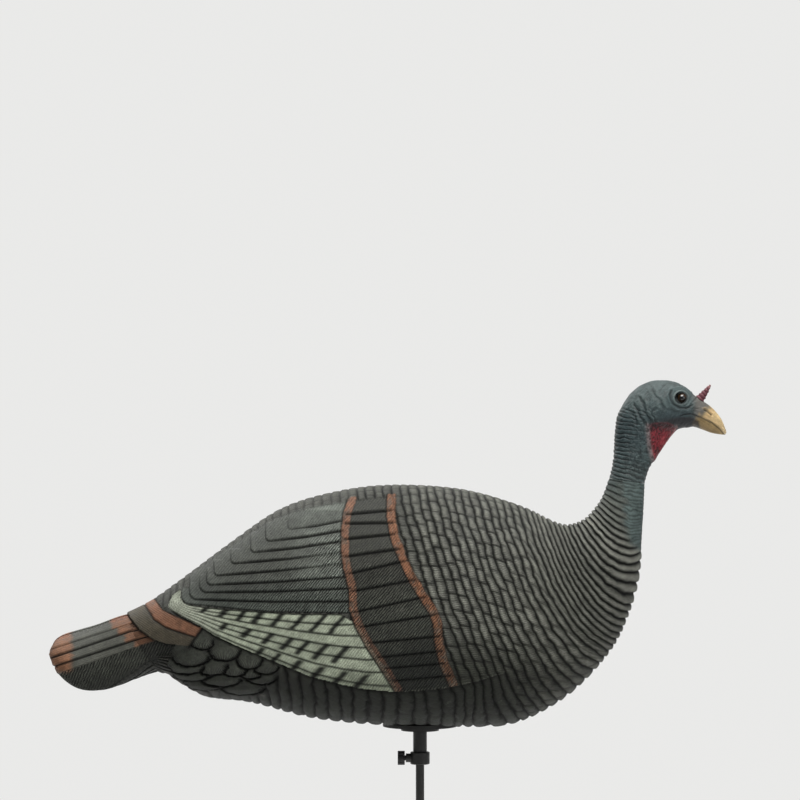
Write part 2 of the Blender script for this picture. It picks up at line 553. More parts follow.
    # bars between the two rust lines
    k3 = (side & (A >= xa - 1) & (A <= xb + 1)).astype(float) * smooth(0, 10, ARC - 46)
    d3 = np.full(n, 60.0)
    ys = []
    for p, q in CROSS:
        (x0, y0), (x1, y1) = p, q
        sl = (y1 - y0) / (x1 - x0)
        e0, e1 = (x0 - 10, y0 - sl * 10), (x1 + 12, y1 + sl * 12)
        d3 = np.minimum(d3, dist(A, B, [e0, e1]))
        ys.append(y0 + (A - x0) * sl)
    ys = np.array(ys)
    below = (B[None] > ys).sum(0)
    y_up = np.where(below > 0, np.take_along_axis(ys, np.clip(below - 1, 0, None)[None], 0)[0], ys[0] - 12)
    y_dn = np.where(below < len(ys), np.take_along_axis(ys, np.clip(below, None, len(ys) - 1)[None], 0)[0], ys[-1] + 12)
    v3 = np.clip((B - y_up) / np.maximum(y_dn - y_up, 1), 0, 1)
    h3 = 1.1 * v3 ** 1.5 - 1.6 * np.exp(-(d3 / 1.2) ** 2)
    h = lerp(h, h3, k3)
    cav = lerp(cav, 1.1 * np.exp(-(d3 / 1.5) ** 2), k3)
    tone = lerp(tone, (hash1(below, 12) - 0.5) * 0.10, k3)
    barb = np.where(k3 > 0.5, (A * 0.80 + B * 0.66) / 2.45, barb)
    bstr = lerp(bstr, 0.35 + 0.95 * smooth(540, 585, B + (A - 370) * 0.25), k3)
    col.coat((58, 59, 53), k3)
    col.coat((62, 64, 57), k3 * smooth(560, 620, B))
    col.coat((28, 31, 26), k3 * smooth(622, 676, B + (A - 400) * 0.3) * 0.92)

    # white primaries with black bars
    wt = np.interp(A, [p[0] for p in WHITE_TOP], [p[1] for p in WHITE_TOP])
    white_poly = TIP_OUT + [(398, 691)] + [p for p in RUST_A[::-1] if p[1] > 614] + TIP_IN[::-1][1:]
    k5 = inside(A, B, white_poly) & above & (A < xa + 1)
    d_in, d_out = dist(A, B, TIP_IN), dist(A, B, TIP_OUT)
    v5 = np.clip(d_in / (d_in + d_out + 1e-6), 0, 1)
    nrow = 6.4
    rows5 = v5 * nrow
    g_mm = (d_in + d_out) / nrow                      # a row's width here, pattern units
    dr = np.abs(rows5 - np.round(rows5)) * g_mm
    dr = np.where(np.round(rows5) < 1, np.where(rows5 < 0.5, d_in, 9), dr)
    wide = lerp(0.55, 1.15, smooth(185, 300, A))
    g5 = np.exp(-(dr / wide) ** 2) * lerp(0.45, 1.0, smooth(176, 250, A))
    ri = np.floor(rows5)
    rf = rows5 - ri
    hw = 1.05 * rf ** 1.3 - 1.15 * g5 - 0.2
    kk = k5.astype(float)
    h = lerp(h, hw, kk)
    cav = lerp(cav, 0.88 * g5, kk)
    tone = lerp(tone, 0.10 * vnoise(A / 9, B / 4, 33), kk)
    barb = np.where(k5, (A * 0.80 + B * 0.62) / 2.4, barb)
    bstr = lerp(bstr, 0.16 + 0.24 * smooth(300, 370, A), kk)
    col.coat((160, 168, 148), kk)
    col.coat((178, 184, 166), kk * (1 - smooth(185, 235, A)))
    col.coat((120, 127, 108), kk * smooth(660, 692, B) * 0.7)
    bars = np.zeros(n)

    def bar_set(items, lo, hi, slant, wid):
        out_ = np.zeros(n)
        for k, (xc, yc) in enumerate(items):
            jw = 1 + (hash1(k, 31 + int(xc)) - 0.5) * 0.35
            line_x = xc - slant * (B - yc) + 0.7 * vnoise(B / 2.2, A * 0 + xc, 34)
            m = np.exp(-np.abs((A - line_x) / (wid * jw)) ** 3.0)
            # bars lean more where they cross a groove, so they read as separate feathers
            e = smooth(lo - 0.22, lo + 0.10, rows5) * (1 - smooth(hi - 0.10, hi + 0.22, rows5))
            out_ = np.maximum(out_, m * e)
        return out_

    bars = np.maximum(bars, bar_set([(199.4, 616), (220, 617), (239, 618), (257, 618), (277.6, 619.5), (299, 620.5), (320, 621), (340, 621)], 0.05, 1.9, 0.85, 3.9))
    bars = np.maximum(bars, bar_set([(219.5, 631), (241, 639), (261.5, 645), (282.4, 648), (300.7, 649.5), (320, 652), (341.4, 653)], 3.0, 4.62, 0.95, 4.2))
    bars = np.maximum(bars, bar_set([(256, 655), (272.5, 661), (294, 667.5), (317, 672.5), (339.8, 677.5), (360.5, 681.5)], 5.22, 6.45, 1.0, 4.4))
    bars = bars * kk
    col.coat((15, 18, 12), bars * 0.98)
    h -= 0.25 * bars

    # lower edge of the folded wing: a step down to the belly, a thin ridge further forward
    d_edge = dist(A, B, WING_EDGE)
    on_edge = smooth(168, 176, A) * (1 - smooth(492, 512, A))
    stand = np.where(above, 1.0, 0.0) * on_edge
    lift = 1.7 * smooth(0, 26, 30 - d_edge) * stand * lerp(1.0, 0.55, smooth(400, 500, A))
    h += lift
    under = np.where(~above, np.exp(-(d_edge / 2.0) ** 2), 0) * on_edge
    h -= 1.0 * under
    cav = np.maximum(cav, under * 0.9)
    ridge = np.exp(-(d_edge / 1.0) ** 2) * smooth(396, 410, A) * (1 - smooth(498, 513, A))
    h += 0.8 * ridge
    col.coat((74, 76, 68), ridge * 0.8)

    # rust lines
    for pts, wd, hi_c, lo_c, x_line in ((RUST_A, 4.1, (124, 88, 68), (78, 54, 42), xa), (RUST_B, 4.5, (128, 88, 64), (88, 62, 44), xb)):
        d = dist(A, B, pts)
        wob = 0.5 * vnoise(B / 4.2, A * 0 + 1.5, 14) + 0.35 * vnoise(B / 1.7, A * 0, 15)
        kb = (1 - smooth(wd - 0.9 + wob, wd + 0.5 + wob, d)) * side * smooth(0, 6, ARC - 40)
        col.coat(hi_c, kb * (1 - smooth(600, 680, B) * 0.55))
        col.coat(lo_c, kb * smooth(600, 690, B) * 0.75)
        hb = 0.55 - 1.0 * np.exp(-(d3 / 1.1) ** 2) * 0.8
        h = lerp(h, h * 0.35 + hb, kb * 0.8)
        cav = lerp(cav, cav * 0.35 + 0.35 * np.exp(-(d3 / 1.3) ** 2), kb)
        worn = smooth(0.05, 0.55, vnoise(A / 2.1, B / 3.0, 17) * 0.7 + vnoise(A / 6, B / 9, 18) * 0.6)
        col.coat((84, 82, 74), kb * worn * 0.55)
        rim = np.exp(-((d - wd - 0.5) / 0.9) ** 2) * side * smooth(0, 6, ARC - 40) * np.where(A < x_line, 0.95, 0.30)
        h -= 0.9 * rim
        cav = np.maximum(cav, rim * 0.9)
        bstr = lerp(bstr, 0.35 + 0.5 * smooth(550, 600, B), kb)
        barb = np.where(kb > 0.5, (A * 0.80 + B * 0.66) / 2.45, barb)
        tone = lerp(tone, 0.10 * vnoise(A / 3, B / 3, 16), kb)

    # --- tail coverts: a rust band, a grey band, then the rump's own edge
    le = np.interp(A, [p[0] for p in COVERT_E], [p[1] for p in COVERT_E])
    ll = np.interp(A, [p[0] for p in COVERT_L], [p[1] for p in COVERT_L])
    lu = np.interp(A, [p[0] for p in COVERT_U], [p[1] for p in COVERT_U])
    not_white = ~k5
    zone_c = (A < 203) & not_white & (T < 3.6)
    beyond_e = zone_c & ((B > le) | (A < 124)) & (A < 190)
    ends = A < np.interp(B, [600, 629, 646, 660], [212, 201.5, 190.0, 183]) + 0.5 * vnoise(B / 2, A * 0, 28)
    rust_c = zone_c & (B > lu) & (B < ll) & ends
    grey_c = zone_c & (B >= ll) & (B <= le) & ends
    dE, dL, dU = dist(A, B, COVERT_E), dist(A, B, COVERT_L), dist(A, B, COVERT_U)
    kc = (rust_c | grey_c).astype(float)
    hc = np.where(rust_c, 0.9 - 0.05 * dL, 0.5) + np.where(grey_c, 0.35, 0) - 1.3 * np.exp(-(dL / 1.0) ** 2) - 0.9 * np.exp(-(dU / 0.9) ** 2)
    h = lerp(h, hc, kc)
    cav = lerp(cav, 0.95 * np.exp(-(dL / 1.2) ** 2) + 0.75 * np.exp(-(dU / 1.0) ** 2), kc)
    tone = lerp(tone, 0.06 * vnoise(A / 4, B / 4, 18), kc)
    col.coat((140, 98, 74), rust_c * (0.9 + 0.1 * vnoise(A / 3, B / 3, 19)))
    col.coat((82, 76, 63), grey_c * 1.0)
    barb = np.where(kc > 0.5, (A * 0.55 - B * 0.85) / 2.0, barb)
    bstr = lerp(bstr, 0.22, kc)
    d_end = dist(A, B, [(203, 627), (189.5, 646.5)])
    gap_end = np.exp(-(d_end / 1.7) ** 2) * zone_c * (A > 180)
    # under the coverts' edge: the under-tail feathers, flush with the tail's root
    ke = beyond_e.astype(float)
    hx, rgbx, kx, bx, sx, gx = fan_fields(A, B)
    h = lerp(h, -2.3 + 0.5 * hx + 1.2 * smooth(2.2, 3.6, T), ke)
    cav = lerp(cav, np.clip(np.maximum(np.exp(-(dE / 1.9) ** 2), gx), 0, 1), ke)
    for rgb_, w_ in zip(rgbx, kx):
        col.coat(rgb_, w_ * ke)
    tone = lerp(tone, 0 * tone, ke)
    barb = np.where(ke > 0.5, bx, barb)
    bstr = lerp(bstr, sx, ke)
    # where the rump turns in behind the tail, short feathers run in towards it
    kw = ke * smooth(0.88, 0.55, np.abs(normals(P)[..., 1].ravel()))
    tw = T / 0.30 + 0.35 * vnoise(ARC / 9, T * 3, 73)
    pw = ARC / 5.2 + 0.5 * np.floor(tw) + 0.25 * vnoise(A / 5, B / 5, 72)
    gw = np.maximum(edge(pw, 0.11), 0.9 * edge(tw, 0.10))
    h += kw * (0.5 * shingle(tw) - 0.9 * gw)
    cav = np.maximum(cav, kw * 0.85 * gw)
    barb = np.where(kw > 0.5, ARC / 1.5, barb)
    bstr = lerp(bstr, 0.8, kw)

    # --- scale feathers of the flank and the under-tail
    fl = (A > 150) & (A < 285) & (~above) & (~rust_c) & (~grey_c) & (B > 634) & ((B > le) | (A > 188))
    hs = np.full(n, 0.0)
    cs = np.zeros(n)
    ss = np.zeros(n)
    bs = barb.copy()
    ts_ = np.zeros(n)
    for i, (cx, cy, rx, ry) in enumerate(SCALES):
        dy_ = B - cy
        q = np.hypot((A - cx) / rx, np.where(dy_ > 0, dy_ / ry, dy_ / (2.1 * ry))) + 0.07 * vnoise(A / 3.2, B / 2.4, 42) + 0.05 * vnoise(A / 1.2, B / 1.2, 43)
        m = q < 1.12
        hang = smooth(-0.55 * ry, 0.15 * ry, dy_)
        hs = np.where(m, 0.9 + 1.3 * hang - 1.0 * q ** 4 * hang - 2.0 * np.exp(-((q - 1.06) / 0.15) ** 2) * hang, hs)
        cs = np.where(m, 1.1 * np.exp(-((q - 1.03) / 0.19) ** 2) * lerp(0.25, 1.0, hang), cs)
        bs = np.where(m, np.arctan2(dy_ + ry * 1.5, A - cx) * (rx * 0.80), bs)
        ts_ = np.where(m, (hash1(i, 41) - 0.4) * 0.35 + 0.30 * smooth(1.0, 0.2, q) + 0.12 * vnoise(A / 2.0, B / 2.0, 44), ts_)
        ss = np.where(m, 1.0, ss)
    # fine long feathers below the tail's root, between the scales and the keel
    kl = ((A > 150) & (A < 224) & (~above) & (~rust_c) & (~grey_c) & (B > 656) & ((B > le) | (A > 188)) & (ss < 0.5)).astype(float) * smooth(152, 166, A) * (1 - smooth(205, 222, A))
    pl = np.arctan2(B - 655, A - 120) / 0.068 + 0.35 * vnoise(A / 9, B / 4, 71)
    gl = edge(pl, 0.15)
    h = lerp(h, -0.6 + 0.9 * shingle(pl) - 0.9 * gl, kl)
    cav = lerp(cav, 0.75 * gl, kl)
    col.coat((56, 56, 49), kl * smooth(156, 170, A) * 0.85)
    bstr = lerp(bstr, 0.5, kl)
    ks = fl * ss * smooth(0, 4, dist(A, B, WING_EDGE) - 0.5)
    h = lerp(h, hs, ks)
    cav = lerp(cav, cs, ks)
    barb = np.where(ks > 0.5, bs, barb)
    bstr = lerp(bstr, 1.1, ks)
    tone = lerp(tone, ts_, ks)
    col.coat((72, 75, 67), ks * (1 - smooth(650, 692, B) * 0.85))

    h = h - 1.4 * gap_end
    cav = np.maximum(cav, gap_end)

    # --- bare skin up the front of the neck
    bare_x = np.interp(B, [470, 481, 532, 547, 557, 560], [612, 623, 628, 631, 634, 646])
    kb = (T > 15.5) * smooth(-6.5, 3.5, A - bare_x + 5.0 * (hash1(row_id, 27) - 0.5) + 1.5 * vnoise(A / 3, B / 2.2, 26)) * (1 - smooth(550, 562, B + 0.6 * (650 - A)))
    fine = np.sin((PH * 1.0 + 0.25 * vnoise(A / 5, B / 5, 23)) * 2 * math.pi * 2)
    h = lerp(h, 0.24 * fine + 0.22 * vnoise(A / 2.2, B / 1.6, 24), kb)
    cav = lerp(cav, 0.50 * smooth(-0.1, -0.8, fine) + 0.05, kb)
    col.coat((84, 97, 95), kb)
    bstr = lerp(bstr, 0.0, kb)
    tone = lerp(tone, 0.12 * vnoise(A / 6, B / 6, 25), kb)
    col.coat((70, 74, 69), neck * (1 - kb) * smooth(560, 520, B) * 0.8)
    col.coat((72, 82, 80), (1 - kb) * smooth(18.6, 21.0, T) * 0.9)

    # --- where the body ends
    rim = smooth(20.0, 21.0, T) * 0.0
    h = h * (1 - smooth(20.9, 21.0, T)) * lerp(smooth(0.0, 0.03, T), 1.0, ke)
    flat = smooth(34.0, 50.0, np.hypot(P[..., 0].ravel(), Y)) * (P[..., 2].ravel() < 60) + (P[..., 2].ravel() >= 60)
    h = h * flat

    # wash, dry brush, tone
    col.shade((1 - 0.20 * (1 - smooth(70, 185, ARC)) * (T < 16)) * (1 - 0.15 * smooth(605, 690, B)) * (1 - 0.10 * smooth(560, 615, A) * smooth(535, 580, B)))
    col.shade(1 + tone)
    col.shade(1 + 0.10 * np.clip(h, -0.5, 1.5) * (1 - cav))
    col.coat((9, 10, 7), np.clip(cav, 0, 1) * 0.95)
    col.shade(1 + 0.10 * fbm(A / 26, B / 26, 50))
    return h, np.clip(col.c, 0.001, 1), barb, bstr, cav


def body_grid(t0, t1, rows, count):
    r0, r1 = row_of(np.array([t0]))[0], row_of(np.array([t1]))[0]
    ts = np.interp(np.linspace(r0, r1, rows), ROWS, np.arange(len(ROWS)))
    P, arcs = surface(BODY, ts, "body", count)
    return ts, P, arcs


K = 380
SPAN = 8.8
total = int(ROWS[-1] * SPAN)
ts, P, arcs = body_grid(0, len(BODY) - 1, total, K)
N = normals(P)
h, col, barb, bstr, cav = body_fields(P, ts, arcs, K)
D = P + N * h.reshape(P.shape[:2] + (1,))
D[:, 0, 1] = D[:, -1, 1] = 0.0
# the belly is open over the plate and bears flat on its flange
rad = np.hypot(D[..., 0], D[..., 1])
low = (D[..., 2] < 25) & (rad < 43.5)
D[..., 2] = np.where(low, np.maximum(D[..., 2], 4.25), D[..., 2])
keep = ~((rad < 35.0) & (D[..., 2] < 25)).ravel()


def lip(Dg, inward, down, n_dir):
    """Two rows that turn a rim inwards, so that a cut end shows a wall."""
    c0 = Dg.mean(0)
    c0[1] = 0
    v = Dg - c0
    L = np.linalg.norm(v, axis=1, keepdims=True)
    a_ = c0 + v * (1 - np.reshape(inward, (-1, 1)) / L)
    return np.stack([a_, a_ + n_dir * down])


def cat(rows_before, grid, rows_after):
    return np.concatenate([g for g in (rows_before, grid, rows_after) if g is not None])


n_rows = D.shape[0]
split = [0, int((n_rows - 1) * 0.333), int((n_rows - 1) * 0.666), n_rows - 1]
rump_dir = np.array([-(127.1 - 61.0), 0, (-302.8 + 332.2)])
rump_dir = -rump_dir / np.linalg.norm(rump_dir)
pieces_body = []
for side_name, mirror in (("right", True), ("left", False)):
    for part, (i0, i1) in zip(("rump", "middle", "breast"), zip(split[:-1], split[1:])):
        G = D[i0:i1 + 1]
        sel = np.arange(i0 * K, (i1 + 1) * K)
        before = after = None
        reps_b = reps_a = 0
        if part == "rump":
            before = lip(G[0], np.clip(2.9 + h[:K] * 1.15, 0.35, 3.2), 4.0, rump_dir)[::-1]
            reps_b = 2
        if part == "breast":
            after = lip(G[-1], 2.6, 12.0, -NECK_N)
            reps_a = 2
        G2 = cat(before, G, after)
        idx = np.concatenate([np.tile(np.arange(i0 * K, i0 * K + K), reps_b), sel, np.tile(np.arange(i1 * K, i1 * K + K), reps_a)]).astype(int)
        kp = keep[idx]
        o = mesh_from_grid(f"body_{part}_{side_name}", G2, {"Col": col[idx], "barb": barb[idx], "bstr": bstr[idx], "cav": cav[idx]}, mirror=mirror, keep=kp)
        pieces_body.append(o)
        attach(o, "decoy")
        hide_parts(f"body_shell_{side_name}")

# ------------------------------------------------------------------ tail fan
KT = 230
tt = np.linspace(0.0, 8.0, 220)
PT, arcT = surface(TAIL, tt, "tail", KT)
NT = normals(PT)
A, B = pattern(PT)
S = np.tile(np.linspace(0, 1, KT), len(tt))
T = np.repeat(tt, KT)
hx, rgbx, kx, barbT, bstrT, gx = fan_fields(A, B)
# on top and below, the fan's feathers run lengthways and lie over each other towards the middle
qq = S * 15.0 + 0.10 * vnoise(A / 14, S * 9, 67)
gq = edge(qq, 0.075) * (1 - smooth(0.09, 0.12, S) * (1 - smooth(0.64, 0.68, S)))
fq = qq - np.floor(qq)
side_k = smooth(0.10, 0.19, S) * (1 - smooth(0.62, 0.68, S))
hT = lerp(np.where(S < 0.4, 0.9 * fq * (1 - smooth(0.06, 0.12, S)), 0.9 * (1 - fq) * smooth(0.66, 0.72, S)) - 1.2 * gq, hx, side_k)
gt = lerp(gq * 0.85, gx, side_k)
hT *= smooth(0.0, 0.4, T)
pt = Paint(len(A), (76, 77, 70))
for rgb_, w_ in zip(rgbx, kx):
    pt.coat(rgb_, w_)
under_k = smooth(0.62, 0.70, S)
pt.coat((46, 47, 43), under_k)
end_top = (1 - smooth(66, 75, A + 1.6 * vnoise(S * 40, A * 0, 61))) * (1 - smooth(0.40, 0.50, S)) * (1 - side_k)
pt.coat((132, 88, 64), end_top * 0.95)
base_top = smooth(108, 114, A + 1.4 * vnoise(S * 30, A * 0, 62)) * (1 - side_k) * (1 - smooth(0.3, 0.5, S))
pt.coat((128, 84, 62), base_top * 0.9)
pt.shade(1 + 0.12 * (hash1(np.floor(qq), 62) - 0.5) * (1 - side_k))
pt.shade(1 + 0.10 * np.clip(hT, -0.5, 1.2) * (1 - gt))
pt.coat((11, 12, 9), np.clip(gt, 0, 1) * 0.9)
pt.shade(1 + 0.10 * fbm(A / 12, B / 12, 63))
barbT = np.where(side_k > 0.5, barbT, (A * 0.5 + S * 60 * np.sign(fq - 0.5)) / 2.2)
bstrT = lerp(0.5, bstrT, side_k)
DT = PT + NT * hT.reshape(PT.shape[:2] + (1,))
# rounded end: rows that close the fan
endc = DT[-1].copy()
mid = endc.mean(0)
mid[1] = 0
core = np.stack([mid[0] + (endc[:, 0] - mid[0]) * 0.25, endc[:, 1] * 0.80, mid[2] + (endc[:, 2] - mid[2]) * 0.10], 1)
caps = []
for k, w in ((1, 0.12), (2, 0.32), (3, 0.6), (4, 1.0)):
    row = lerp(endc, core, w)
    row[:, 0] -= 2.2 * math.sin(w * math.pi / 2)
    caps.append(row)
DT[:, 0, 1] = DT[:, -1, 1] = 0
caps = np.array(caps)
caps[:, 0, 1] = caps[:, -1, 1] = 0
GT = np.concatenate([DT, caps])
last = np.arange((len(tt) - 1) * KT, len(tt) * KT)
idx = np.concatenate([np.arange(len(tt) * KT), np.tile(last, 4)])
for side_name, mirror in (("right", True), ("left", False)):
    o = mesh_from_grid(f"tail_{side_name}", GT, {"Col": np.clip(pt.c, 0.001, 1)[idx], "barb": barbT[idx], "bstr": bstrT[idx], "cav": gt[idx]}, mirror=mirror)
    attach(o, "decoy")
    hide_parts("tail_fan")
    pieces_body.append(o)

# ------------------------------------------------------------------ head and upper neck
KH = 230
seg = np.concatenate([[0], np.cumsum(np.hypot(np.diff(HEAD[:, 0] + HEAD[:, 2]) / 2, np.diff(HEAD[:, 1] + HEAD[:, 3]) / 2) + 4)])
th = np.interp(np.linspace(0, seg[-1], 330), seg, np.arange(len(HEAD)))
PH_, arcH = surface(HEAD, th, "head", KH)
NH = normals(PH_)
A, B = pattern(PH_)
Y = PH_[..., 1].ravel()
S = np.tile(np.linspace(0, 1, KH), len(th))
T = np.repeat(th, KH)
n = len(A)
hh = np.zeros(n)
ch = np.zeros(n)
ph = Paint(n, (66, 80, 81))
# ring wrinkles round the nape, denser skin folds lower down; each ring is broken and wavers
ring_no = np.concatenate([[0], np.cumsum([3.0, 2.9, 2.9, 2.9, 3.0, 3.1, 3.1, 3.1, 3.0] + [2.4] * (len(HEAD) - 10))])
rw = np.interp(T, np.arange(len(HEAD)), ring_no) + 1.5 * S ** 1.6 * (1 - smooth(1.5, 4.5, T))
rw = rw + 0.20 * vnoise(A / 6, B / 6, 71) + 0.13 * vnoise(A / 2.6, B / 2.6, 72)
nape = (1 - smooth(0.30, 0.60, S)) * smooth(402, 416, B) * (1 - smooth(7.2, 9.2, T))
lower = smooth(452, 470, B)
wr = np.clip(np.maximum(nape, lower * (1 - 0.30 * smooth(0.5, 0.9, S))), 0, 1)
wr = wr * (0.90 + 0.45 * vnoise(A / 4.5, B / 3.0, 77) * smooth(0.5, 4.0, T))
f = rw - np.floor(rw)
prof = np.sin(f * math.pi) ** 0.8
crease = np.exp(-(np.minimum(f, 1 - f) / (0.12 + 0.06 * (1 - smooth(1.0, 4.5, T)))) ** 2)
hh += wr * (0.75 * prof - 0.45 - 0.45 * crease)
ch = np.maximum(ch, np.clip(wr * 1.3, 0, 1) * crease)
second = np.exp(-(np.minimum((f + 0.45) % 1, 1 - (f + 0.45) % 1) / 0.10) ** 2) * smooth(0.0, 0.5, vnoise(A / 5, B / 5, 78))
hh -= np.clip(wr, 0, 1) * 0.22 * second
ch = np.maximum(ch, np.clip(wr, 0, 1) * 0.55 * second)
fine = np.sin(rw * 2 * math.pi * 2.0 + 1.3)
front = smooth(0.45, 0.6, S) * smooth(448, 462, B)
hh += front * 0.24 * fine
ch = np.maximum(ch, front * 0.50 * smooth(-0.1, -0.8, fine))
# pebbled skin in the middle of the neck and the cheek
peb = fbm(A / 1.9, B / 1.9, 73)
pz = smooth(410, 425, B) * (1 - smooth(466, 480, B)) * (1 - nape * 0.6) * (A < 660)
hh += pz * 0.85 * peb
ch = np.maximum(ch, pz * 0.80 * smooth(0.02, 0.45, -peb))
ph.coat((96, 108, 106), pz * 0.35 * smooth(0.05, 0.5, peb))
# the whole skull is faintly creased
cr = vnoise((A + B) / 2.0, (A - B) / 5.0, 79)
hh += 0.22 * cr * (1 - smooth(692, 700, A))
ch = np.maximum(ch, 0.42 * smooth(0.35, 0.8, -cr) * (1 - smooth(692, 700, A)))
hh += 0.30 * fbm(A / 5.5, B / 5.5, 74) * (1 - smooth(696, 704, A))
# skull furrows behind the eye
for pts, wd, dep in (([(652, 389), (655, 396), (661, 402), (663, 408)], 1.6, 0.55), ([(640, 398), (644, 405), (645, 412), (650, 419), (649, 426)], 1.5, 0.9),
                     ([(634, 404), (638, 411), (640, 418), (646, 424), (648, 431)], 1.4, 0.9), ([(656, 408), (651, 413), (655, 419), (652, 424)], 1.3, 0.7),
                     ([(628, 410), (634, 415), (637, 424)], 1.3, 0.7), ([(663, 386), (668, 383), (676, 384)], 1.3, 0.35),
                     ([(661, 405), (668, 410), (677, 412)], 1.5, 0.35), ([(690, 405), (694, 401), (697, 396)], 1.0, 0.45), ([(687, 409), (692, 408), (698, 409)], 0.9, 0.35)):
    d = dist(A + 0.9 * vnoise(A / 2.4, B / 2.4, 91), B + 0.6 * vnoise(A / 2.4, B / 2.4, 92), pts)
    hh -= 0.85 * dep * np.exp(-(d / (0.8 * wd)) ** 2)
    hh += 0.55 * dep * np.exp(-((d - 1.9 * wd) / (1.1 * wd)) ** 2)
    ch = np.maximum(ch, dep * 0.85 * np.exp(-(d / (wd * 0.65)) ** 2))
    ph.coat((98, 110, 108), 0.40 * dep * np.exp(-((d - 2.0 * wd) / (0.9 * wd)) ** 2))
# eye: a socket, a lid ring, a fold behind and below
ex, ey = 680.97, 398.0
rad_e = np.hypot(A - ex, (B - ey) * 1.04)
hh = np.where(rad_e < 12, hh * smooth(7.5, 12, rad_e), hh)
hh += 0.85 * np.exp(-((rad_e - 6.9) / 0.95) ** 2)
hh = np.where(rad_e < 5.9, lerp(-6.5, 0.55, smooth(5.05, 5.9, rad_e)), hh)
d = dist(A, B, [(671.5, 391), (670, 395), (671, 400), (674, 404.6), (680, 408), (687, 408.2), (691, 406)])
out = rad_e > 7.6
hh -= out * 0.9 * np.exp(-(d / 1.2) ** 2)
hh += out * 0.7 * np.exp(-((d - 2.4) / 1.5) ** 2) * (rad_e > 9.5)
ch = np.maximum(ch, out * 0.8 * np.exp(-(d / 1.1) ** 2))
ch = np.maximum(ch, np.where(rad_e < 6.0, 1.0, np.exp(-((rad_e - 6.0) / 0.7) ** 2)))
ph.coat((100, 112, 110), np.exp(-((rad_e - 7.3) / 0.9) ** 2) * 0.6)
d = dist(A, B, [(672, 389.5), (678, 387.2), (685, 388.4), (691, 392)])
hh += 0.8 * np.exp(-(d / 1.9) ** 2)
# beak: gape, nostril, the upper half overhangs the lower
MOUTH = [(681, 416), (684, 414.8), (691, 414), (701, 417.5), (712, 423), (719.5, 429), (723.6, 434)]
d = dist(A, B, MOUTH)
my = np.interp(A, [p[0] for p in MOUTH], [p[1] for p in MOUTH])
hh -= 1.1 * np.exp(-(d / 0.85) ** 2)
ch = np.maximum(ch, 0.95 * np.exp(-(d / 0.75) ** 2))
lowb = (B > my) & (A > 690)
hh -= lowb * 0.75 * smooth(690, 700, A) * smooth(0, 2.0, B - my)
hh += (~lowb) * (A > 694) * 0.35 * np.exp(-((d - 1.7) / 1.0) ** 2)
d = dist(A, B, [(704.5, 409.8), (708, 411.6), (711.5, 414.8)])
hh -= 1.2 * np.exp(-(d / 1.0) ** 2)
hh += 0.4 * np.exp(-((d - 2.2) / 0.9) ** 2)
ch = np.maximum(ch, np.exp(-(d / 0.85) ** 2))
s_b = ((A - 690) * 36 + (B - 410) * 23) / 42.7 ** 2
beak = smooth(0.20, 0.42, s_b + 0.06 * vnoise(A / 3, B / 3, 81) + 0.16 * smooth(417, 424, B) * smooth(690, 696, A))
ph.coat((72, 84, 83), smooth(0.50, 0.1, S) * (1 - smooth(396, 430, B)) * 0.8)
ph.coat((50, 66, 70), smooth(400, 420, B) * (1 - smooth(440, 456, B)) * (1 - smooth(660, 672, A)) * 0.55)
ph.coat((46, 60, 66), smooth(404, 416, B) * smooth(655, 668, A) * (1 - smooth(690, 700, A)) * 0.6)
ph.coat((72, 80, 78), (1 - smooth(0.05, 0.16, S)) * smooth(398, 420, B))
ph.coat((78, 90, 89), smooth(462, 474, B) * 0.8)
ph.coat((104, 100, 94), smooth(690, 699, A) * (1 - smooth(0.20, 0.45, s_b)) * 0.85)
ph.coat((196, 168, 122), beak)
ph.coat((226, 206, 166), beak * smooth(0.72, 1.0, s_b) * 0.6)
ph.coat((222, 198, 150), beak * (~lowb) * smooth(0.42, 0.6, s_b) * smooth(0.7, 0.35, S) * 0.5)
ph.coat((138, 116, 74), beak * lowb * 0.75)
bl_ = vnoise((A * 0.54 - B * 0.84) / 0.9, (A * 0.84 + B * 0.54) / 8.0, 93)
ph.shade(1 + 0.16 * bl_ * beak)
hh += 0.07 * bl_ * beak
ph.coat((96, 80, 48), beak * smooth(0.45, 0.15, s_b) * 0.5)
cheek = [(662, 420.5), (676, 416.5), (690, 416), (700, 420.5), (701, 430), (696, 431), (688, 433), (677, 436), (676, 426), (668, 424)]
kc_ = np.where(inside(A, B, cheek), smooth(-0.5, 2.5, dist(A, B, cheek + cheek[:1])), 0)
ph.coat((30, 28, 32), kc_ * 0.85)
ph.coat((40, 50, 55), smooth(2.2, 0.6, dist(A, B, [(660, 420), (668, 418.5), (680, 416.5)])) * 0.6)
# red throat with a pale fold along its edge
WAT = [(648.8, 424.5), (656, 422.5), (667, 422.5), (674, 425), (675.5, 430), (668, 441), (660, 452), (654.2, 462.5), (651.5, 456), (649.6, 442)]
dw = dist(A, B, WAT + WAT[:1])
wat = inside(A, B, WAT)
kw = np.where(wat, smooth(-0.8, 1.6, dw), smooth(1.2, -0.2, dw) * 0.5)
ww = (A * 0.80 + B * 0.52) / 3.0 + 0.75 * vnoise(A / 4, B / 4, 83)
wx = np.sin(ww * 2 * math.pi)
wlump = vnoise(A / 1.7, B / 1.7, 84)
hh = np.where(kw > 0.3, hh * 0.4, hh)
hh += kw * (0.75 + 0.40 * wx * (0.5 + 0.5 * vnoise(A / 3, B / 3, 86)) + 0.50 * wlump)
ph.coat((122, 32, 42), kw)
ph.coat((66, 12, 20), kw * smooth(0.1, 0.9, -(wx * 0.5 + wlump * 0.7)) * 0.9)
ph.coat((158, 66, 70), kw * smooth(0.3, 1.0, wx * 0.5 + wlump * 0.7) * 0.55)
ph.coat((34, 8, 14), kw * (1 - smooth(424, 434, B)) * 0.92)
